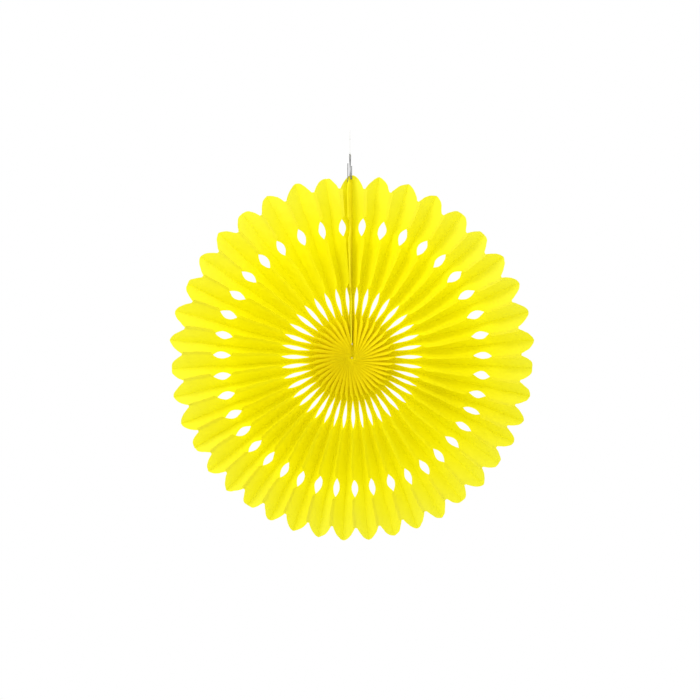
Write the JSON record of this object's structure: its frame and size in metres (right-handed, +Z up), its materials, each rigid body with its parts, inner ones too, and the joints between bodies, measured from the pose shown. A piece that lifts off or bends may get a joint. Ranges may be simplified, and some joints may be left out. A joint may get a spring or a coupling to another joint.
{
  "type": "hanging tissue paper fan",
  "caption": "Round pleated tissue paper fan decoration with cut-out rings, opened flat and hung by a thread from a paper clip.",
  "frame": {"origin": "inside the top of the hanging thread's loop, where the hook carries it", "axes": "+Z up along the hanging thread, -Y out of the fan's front, +X to the right as seen from the front"},
  "size_m": [0.3996, 0.0283, 0.4493],
  "materials": {
    "tissue": "thin crimped tissue paper, matt and translucent, dyed bright yellow",
    "card": "stiff uncoated paper card, yellow",
    "steel_wire": "bright plated round steel wire",
    "white_thread": "fine twisted cotton thread, white",
    "binding_thread": "fine cotton thread, yellow"
  },
  "bodies": {
    "hanging_loop": {"hanging_thread": "white_thread", "loop_knot": "white_thread"},
    "thread_tie": {"clip_knot": "white_thread"},
    "clip": {"paper_clip": "steel_wire"},
    "fan": {"end_card_left": "card", "centre_thread": "binding_thread"},
    "right_card": {"end_card_right": "card"},
    "body_pleat_01": {"pleat_01": "tissue"},
    "body_pleat_02": {"pleat_02": "tissue"},
    "body_pleat_03": {"pleat_03": "tissue"},
    "body_pleat_04": {"pleat_04": "tissue"},
    "body_pleat_05": {"pleat_05": "tissue"},
    "body_pleat_06": {"pleat_06": "tissue"},
    "body_pleat_07": {"pleat_07": "tissue"},
    "body_pleat_08": {"pleat_08": "tissue"},
    "body_pleat_09": {"pleat_09": "tissue"},
    "body_pleat_10": {"pleat_10": "tissue"},
    "body_pleat_11": {"pleat_11": "tissue"},
    "body_pleat_12": {"pleat_12": "tissue"},
    "body_pleat_13": {"pleat_13": "tissue"},
    "body_pleat_14": {"pleat_14": "tissue"},
    "body_pleat_15": {"pleat_15": "tissue"},
    "body_pleat_16": {"pleat_16": "tissue"},
    "body_pleat_17": {"pleat_17": "tissue"},
    "body_pleat_18": {"pleat_18": "tissue"},
    "body_pleat_19": {"pleat_19": "tissue"},
    "body_pleat_20": {"pleat_20": "tissue"},
    "body_pleat_21": {"pleat_21": "tissue"},
    "body_pleat_22": {"pleat_22": "tissue"},
    "body_pleat_23": {"pleat_23": "tissue"},
    "body_pleat_24": {"pleat_24": "tissue"},
    "body_pleat_25": {"pleat_25": "tissue"},
    "body_pleat_26": {"pleat_26": "tissue"},
    "body_pleat_27": {"pleat_27": "tissue"},
    "body_pleat_28": {"pleat_28": "tissue"},
    "body_pleat_29": {"pleat_29": "tissue"},
    "body_pleat_30": {"pleat_30": "tissue"},
    "body_pleat_31": {"pleat_31": "tissue"},
    "body_pleat_32": {"pleat_32": "tissue"},
    "body_pleat_33": {"pleat_33": "tissue"},
    "body_pleat_34": {"pleat_34": "tissue"},
    "body_pleat_35": {"pleat_35": "tissue"},
    "body_pleat_36": {"pleat_36": "tissue"},
    "body_pleat_37": {"pleat_37": "tissue"},
    "body_pleat_38": {"pleat_38": "tissue"},
    "body_pleat_39": {"pleat_39": "tissue"},
    "body_pleat_40": {"pleat_40": "tissue"},
    "body_pleat_41": {"pleat_41": "tissue"}
  },
  "joints": [
    {"name": "hang_spin", "type": "hinge", "parent": "hanging_loop", "child": "thread_tie", "pos_m": [0, 0, -0.02647], "axis": [0, 0, 1], "continuous": true},
    {"name": "hang_swing", "type": "hinge", "parent": "thread_tie", "child": "clip", "pos_m": [0, 0, -0.02647], "axis": [0.2591, 0.9658, 0], "range_deg": [-30, 30]},
    {"name": "clip_pull", "type": "slide", "parent": "clip", "child": "fan", "axis": [0, 0, 1], "range_m": [-0.01, 0]},
    {"name": "fan_fold", "type": "hinge", "parent": "fan", "child": "right_card", "pos_m": [0.00221, 0, -0.249], "axis": [0, 1, 0], "range_deg": [0, 354]},
    {"name": "fold_pleat_01", "type": "hinge", "parent": "fan", "child": "body_pleat_01", "pos_m": [0.00221, 0, -0.249], "axis": [0, 1, 0], "range_deg": [0, 350.37], "deforming": ["pleat_01"]},
    {"name": "fold_pleat_02", "type": "hinge", "parent": "fan", "child": "body_pleat_02", "pos_m": [0.00221, 0, -0.249], "axis": [0, 1, 0], "range_deg": [0, 341.53], "deforming": ["pleat_02"]},
    {"name": "fold_pleat_03", "type": "hinge", "parent": "fan", "child": "body_pleat_03", "pos_m": [0.00221, 0, -0.249], "axis": [0, 1, 0], "range_deg": [0, 332.03], "deforming": ["pleat_03"]},
    {"name": "fold_pleat_04", "type": "hinge", "parent": "fan", "child": "body_pleat_04", "pos_m": [0.00221, 0, -0.249], "axis": [0, 1, 0], "range_deg": [0, 322.48], "deforming": ["pleat_04"]},
    {"name": "fold_pleat_05", "type": "hinge", "parent": "fan", "child": "body_pleat_05", "pos_m": [0.00221, 0, -0.249], "axis": [0, 1, 0], "range_deg": [0, 312.99], "deforming": ["pleat_05"]},
    {"name": "fold_pleat_06", "type": "hinge", "parent": "fan", "child": "body_pleat_06", "pos_m": [0.00221, 0, -0.249], "axis": [0, 1, 0], "range_deg": [0, 303.59], "deforming": ["pleat_06"]},
    {"name": "fold_pleat_07", "type": "hinge", "parent": "fan", "child": "body_pleat_07", "pos_m": [0.00221, 0, -0.249], "axis": [0, 1, 0], "range_deg": [0, 294.29], "deforming": ["pleat_07"]},
    {"name": "fold_pleat_08", "type": "hinge", "parent": "fan", "child": "body_pleat_08", "pos_m": [0.00221, 0, -0.249], "axis": [0, 1, 0], "range_deg": [0, 285.11], "deforming": ["pleat_08"]},
    {"name": "fold_pleat_09", "type": "hinge", "parent": "fan", "child": "body_pleat_09", "pos_m": [0.00221, 0, -0.249], "axis": [0, 1, 0], "range_deg": [0, 276.04], "deforming": ["pleat_09"]},
    {"name": "fold_pleat_10", "type": "hinge", "parent": "fan", "child": "body_pleat_10", "pos_m": [0.00221, 0, -0.249], "axis": [0, 1, 0], "range_deg": [0, 267.1], "deforming": ["pleat_10"]},
    {"name": "fold_pleat_11", "type": "hinge", "parent": "fan", "child": "body_pleat_11", "pos_m": [0.00221, 0, -0.249], "axis": [0, 1, 0], "range_deg": [0, 258.34], "deforming": ["pleat_11"]},
    {"name": "fold_pleat_12", "type": "hinge", "parent": "fan", "child": "body_pleat_12", "pos_m": [0.00221, 0, -0.249], "axis": [0, 1, 0], "range_deg": [0, 250.14], "deforming": ["pleat_12"]},
    {"name": "fold_pleat_13", "type": "hinge", "parent": "fan", "child": "body_pleat_13", "pos_m": [0.00221, 0, -0.249], "axis": [0, 1, 0], "range_deg": [0, 242.62], "deforming": ["pleat_13"]},
    {"name": "fold_pleat_14", "type": "hinge", "parent": "fan", "child": "body_pleat_14", "pos_m": [0.00221, 0, -0.249], "axis": [0, 1, 0], "range_deg": [0, 234.93], "deforming": ["pleat_14"]},
    {"name": "fold_pleat_15", "type": "hinge", "parent": "fan", "child": "body_pleat_15", "pos_m": [0.00221, 0, -0.249], "axis": [0, 1, 0], "range_deg": [0, 226.77], "deforming": ["pleat_15"]},
    {"name": "fold_pleat_16", "type": "hinge", "parent": "fan", "child": "body_pleat_16", "pos_m": [0.00221, 0, -0.249], "axis": [0, 1, 0], "range_deg": [0, 218.59], "deforming": ["pleat_16"]},
    {"name": "fold_pleat_17", "type": "hinge", "parent": "fan", "child": "body_pleat_17", "pos_m": [0.00221, 0, -0.249], "axis": [0, 1, 0], "range_deg": [0, 210.49], "deforming": ["pleat_17"]},
    {"name": "fold_pleat_18", "type": "hinge", "parent": "fan", "child": "body_pleat_18", "pos_m": [0.00221, 0, -0.249], "axis": [0, 1, 0], "range_deg": [0, 202.47], "deforming": ["pleat_18"]},
    {"name": "fold_pleat_19", "type": "hinge", "parent": "fan", "child": "body_pleat_19", "pos_m": [0.00221, 0, -0.249], "axis": [0, 1, 0], "range_deg": [0, 194.51], "deforming": ["pleat_19"]},
    {"name": "fold_pleat_20", "type": "hinge", "parent": "fan", "child": "body_pleat_20", "pos_m": [0.00221, 0, -0.249], "axis": [0, 1, 0], "range_deg": [0, 186.59], "deforming": ["pleat_20"]},
    {"name": "fold_pleat_21", "type": "hinge", "parent": "fan", "child": "body_pleat_21", "pos_m": [0.00221, 0, -0.249], "axis": [0, 1, 0], "range_deg": [0, 178.7], "deforming": ["pleat_21"]},
    {"name": "fold_pleat_22", "type": "hinge", "parent": "fan", "child": "body_pleat_22", "pos_m": [0.00221, 0, -0.249], "axis": [0, 1, 0], "range_deg": [0, 170.8], "deforming": ["pleat_22"]},
    {"name": "fold_pleat_23", "type": "hinge", "parent": "fan", "child": "body_pleat_23", "pos_m": [0.00221, 0, -0.249], "axis": [0, 1, 0], "range_deg": [0, 162.88], "deforming": ["pleat_23"]},
    {"name": "fold_pleat_24", "type": "hinge", "parent": "fan", "child": "body_pleat_24", "pos_m": [0.00221, 0, -0.249], "axis": [0, 1, 0], "range_deg": [0, 154.92], "deforming": ["pleat_24"]},
    {"name": "fold_pleat_25", "type": "hinge", "parent": "fan", "child": "body_pleat_25", "pos_m": [0.00221, 0, -0.249], "axis": [0, 1, 0], "range_deg": [0, 146.9], "deforming": ["pleat_25"]},
    {"name": "fold_pleat_26", "type": "hinge", "parent": "fan", "child": "body_pleat_26", "pos_m": [0.00221, 0, -0.249], "axis": [0, 1, 0], "range_deg": [0, 138.8], "deforming": ["pleat_26"]},
    {"name": "fold_pleat_27", "type": "hinge", "parent": "fan", "child": "body_pleat_27", "pos_m": [0.00221, 0, -0.249], "axis": [0, 1, 0], "range_deg": [0, 130.62], "deforming": ["pleat_27"]},
    {"name": "fold_pleat_28", "type": "hinge", "parent": "fan", "child": "body_pleat_28", "pos_m": [0.00221, 0, -0.249], "axis": [0, 1, 0], "range_deg": [0, 122.32], "deforming": ["pleat_28"]},
    {"name": "fold_pleat_29", "type": "hinge", "parent": "fan", "child": "body_pleat_29", "pos_m": [0.00221, 0, -0.249], "axis": [0, 1, 0], "range_deg": [0, 113.91], "deforming": ["pleat_29"]},
    {"name": "fold_pleat_30", "type": "hinge", "parent": "fan", "child": "body_pleat_30", "pos_m": [0.00221, 0, -0.249], "axis": [0, 1, 0], "range_deg": [0, 105.37], "deforming": ["pleat_30"]},
    {"name": "fold_pleat_31", "type": "hinge", "parent": "fan", "child": "body_pleat_31", "pos_m": [0.00221, 0, -0.249], "axis": [0, 1, 0], "range_deg": [0, 96.7], "deforming": ["pleat_31"]},
    {"name": "fold_pleat_32", "type": "hinge", "parent": "fan", "child": "body_pleat_32", "pos_m": [0.00221, 0, -0.249], "axis": [0, 1, 0], "range_deg": [0, 87.9], "deforming": ["pleat_32"]},
    {"name": "fold_pleat_33", "type": "hinge", "parent": "fan", "child": "body_pleat_33", "pos_m": [0.00221, 0, -0.249], "axis": [0, 1, 0], "range_deg": [0, 78.96], "deforming": ["pleat_33"]},
    {"name": "fold_pleat_34", "type": "hinge", "parent": "fan", "child": "body_pleat_34", "pos_m": [0.00221, 0, -0.249], "axis": [0, 1, 0], "range_deg": [0, 69.89], "deforming": ["pleat_34"]},
    {"name": "fold_pleat_35", "type": "hinge", "parent": "fan", "child": "body_pleat_35", "pos_m": [0.00221, 0, -0.249], "axis": [0, 1, 0], "range_deg": [0, 60.71], "deforming": ["pleat_35"]},
    {"name": "fold_pleat_36", "type": "hinge", "parent": "fan", "child": "body_pleat_36", "pos_m": [0.00221, 0, -0.249], "axis": [0, 1, 0], "range_deg": [0, 51.41], "deforming": ["pleat_36"]},
    {"name": "fold_pleat_37", "type": "hinge", "parent": "fan", "child": "body_pleat_37", "pos_m": [0.00221, 0, -0.249], "axis": [0, 1, 0], "range_deg": [0, 42.01], "deforming": ["pleat_37"]},
    {"name": "fold_pleat_38", "type": "hinge", "parent": "fan", "child": "body_pleat_38", "pos_m": [0.00221, 0, -0.249], "axis": [0, 1, 0], "range_deg": [0, 32.52], "deforming": ["pleat_38"]},
    {"name": "fold_pleat_39", "type": "hinge", "parent": "fan", "child": "body_pleat_39", "pos_m": [0.00221, 0, -0.249], "axis": [0, 1, 0], "range_deg": [0, 22.97], "deforming": ["pleat_39"]},
    {"name": "fold_pleat_40", "type": "hinge", "parent": "fan", "child": "body_pleat_40", "pos_m": [0.00221, 0, -0.249], "axis": [0, 1, 0], "range_deg": [0, 13.47], "deforming": ["pleat_40"]},
    {"name": "fold_pleat_41", "type": "hinge", "parent": "fan", "child": "body_pleat_41", "pos_m": [0.00221, 0, -0.249], "axis": [0, 1, 0], "range_deg": [0, 4.63], "deforming": ["pleat_41"]}
  ],
  "couplings": [
    {"joint": "fold_pleat_01", "follows": "fan_fold", "ratio": 0.98833},
    {"joint": "fold_pleat_02", "follows": "fan_fold", "ratio": 0.96336},
    {"joint": "fold_pleat_03", "follows": "fan_fold", "ratio": 0.93653},
    {"joint": "fold_pleat_04", "follows": "fan_fold", "ratio": 0.90955},
    {"joint": "fold_pleat_05", "follows": "fan_fold", "ratio": 0.88275},
    {"joint": "fold_pleat_06", "follows": "fan_fold", "ratio": 0.8562},
    {"joint": "fold_pleat_07", "follows": "fan_fold", "ratio": 0.82992},
    {"joint": "fold_pleat_08", "follows": "fan_fold", "ratio": 0.80397},
    {"joint": "fold_pleat_09", "follows": "fan_fold", "ratio": 0.77836},
    {"joint": "fold_pleat_10", "follows": "fan_fold", "ratio": 0.75312},
    {"joint": "fold_pleat_11", "follows": "fan_fold", "ratio": 0.72837},
    {"joint": "fold_pleat_12", "follows": "fan_fold", "ratio": 0.70519},
    {"joint": "fold_pleat_13", "follows": "fan_fold", "ratio": 0.68395},
    {"joint": "fold_pleat_14", "follows": "fan_fold", "ratio": 0.66224},
    {"joint": "fold_pleat_15", "follows": "fan_fold", "ratio": 0.63918},
    {"joint": "fold_pleat_16", "follows": "fan_fold", "ratio": 0.61606},
    {"joint": "fold_pleat_17", "follows": "fan_fold", "ratio": 0.59319},
    {"joint": "fold_pleat_18", "follows": "fan_fold", "ratio": 0.57054},
    {"joint": "fold_pleat_19", "follows": "fan_fold", "ratio": 0.54806},
    {"joint": "fold_pleat_20", "follows": "fan_fold", "ratio": 0.52569},
    {"joint": "fold_pleat_21", "follows": "fan_fold", "ratio": 0.50338},
    {"joint": "fold_pleat_22", "follows": "fan_fold", "ratio": 0.48106},
    {"joint": "fold_pleat_23", "follows": "fan_fold", "ratio": 0.4587},
    {"joint": "fold_pleat_24", "follows": "fan_fold", "ratio": 0.43621},
    {"joint": "fold_pleat_25", "follows": "fan_fold", "ratio": 0.41356},
    {"joint": "fold_pleat_26", "follows": "fan_fold", "ratio": 0.39069},
    {"joint": "fold_pleat_27", "follows": "fan_fold", "ratio": 0.36756},
    {"joint": "fold_pleat_28", "follows": "fan_fold", "ratio": 0.34413},
    {"joint": "fold_pleat_29", "follows": "fan_fold", "ratio": 0.32037},
    {"joint": "fold_pleat_30", "follows": "fan_fold", "ratio": 0.29624},
    {"joint": "fold_pleat_31", "follows": "fan_fold", "ratio": 0.27175},
    {"joint": "fold_pleat_32", "follows": "fan_fold", "ratio": 0.24688},
    {"joint": "fold_pleat_33", "follows": "fan_fold", "ratio": 0.22164},
    {"joint": "fold_pleat_34", "follows": "fan_fold", "ratio": 0.19603},
    {"joint": "fold_pleat_35", "follows": "fan_fold", "ratio": 0.17008},
    {"joint": "fold_pleat_36", "follows": "fan_fold", "ratio": 0.1438},
    {"joint": "fold_pleat_37", "follows": "fan_fold", "ratio": 0.11725},
    {"joint": "fold_pleat_38", "follows": "fan_fold", "ratio": 0.090455},
    {"joint": "fold_pleat_39", "follows": "fan_fold", "ratio": 0.063473},
    {"joint": "fold_pleat_40", "follows": "fan_fold", "ratio": 0.036641},
    {"joint": "fold_pleat_41", "follows": "fan_fold", "ratio": 0.011669}
  ]
}
